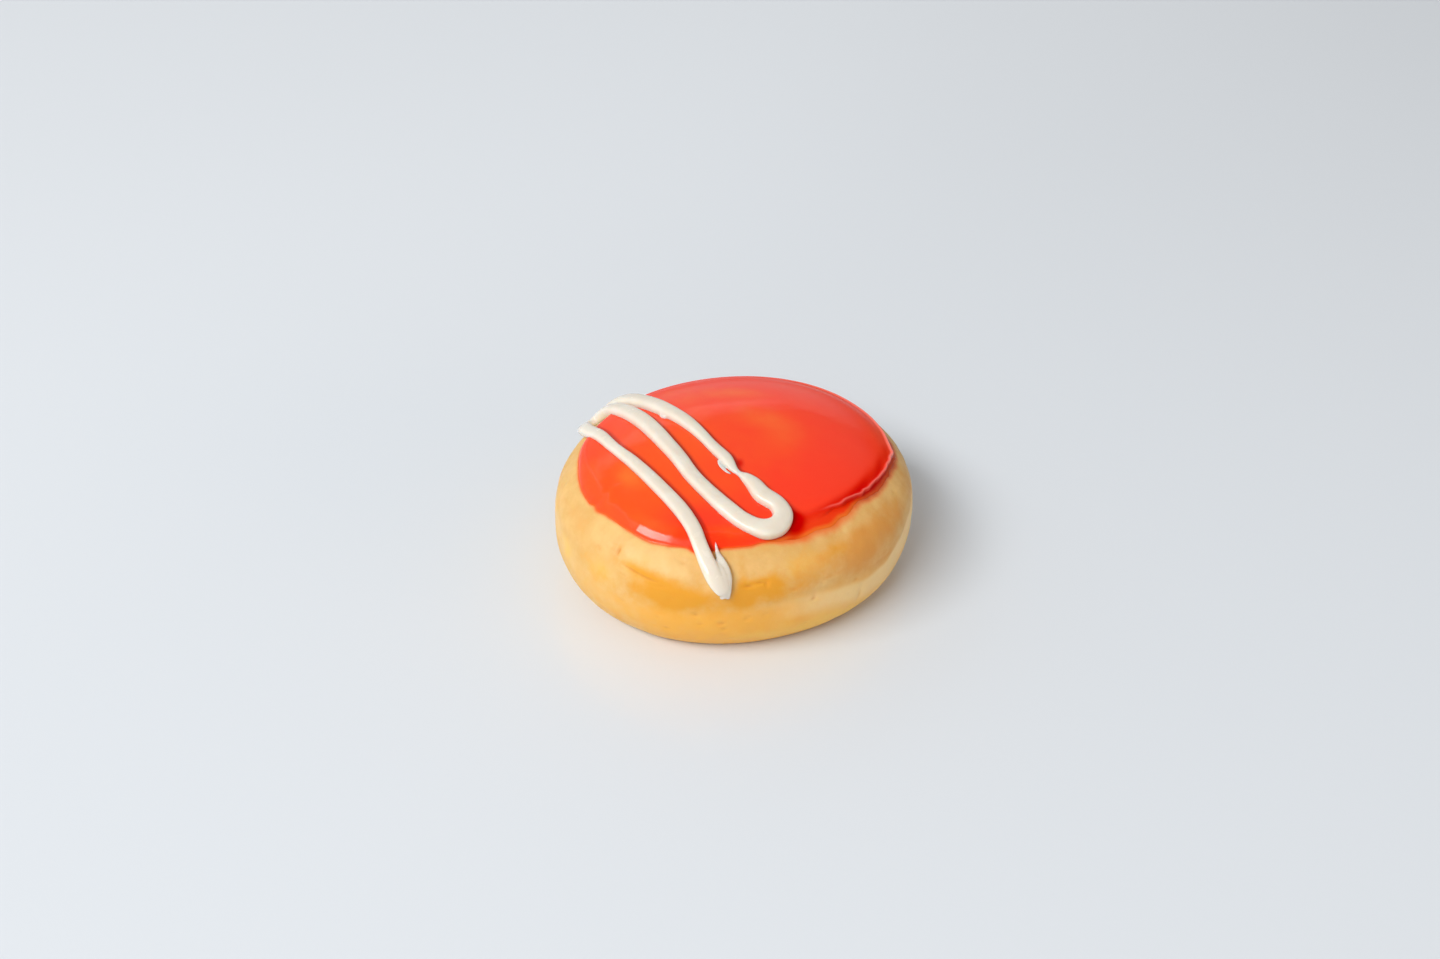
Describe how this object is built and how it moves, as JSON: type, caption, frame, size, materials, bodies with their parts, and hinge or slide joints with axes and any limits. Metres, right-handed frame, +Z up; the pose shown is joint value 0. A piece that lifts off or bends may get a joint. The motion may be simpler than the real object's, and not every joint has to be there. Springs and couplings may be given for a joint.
{
  "type": "iced doughnut",
  "caption": "Round solid doughnut with no hole: a golden fried bun, a smooth orange-red glaze over its top and a zigzag of piped cream icing.",
  "frame": {"origin": "The centre of the flat underside, on the surface that the doughnut rests on.", "axes": "+Z points up through the top of the doughnut. The open end of the icing line hangs over the -Y side, and the icing lies towards -X."},
  "size_m": [0.087, 0.0853, 0.0355],
  "materials": {
    "dough": "Satin fried dough, pale gold under the glaze and at the foot, deeper orange-gold round the middle.",
    "glaze": "Smooth glossy sugar glaze, orange-red, deeper crimson towards its front and right rim.",
    "icing": "Piped cream-white icing with a soft shine. The icing line is fused to the glaze in the solids."
  },
  "bodies": {
    "root": {"dough": "dough", "glaze": "glaze"}
  },
  "joints": []
}
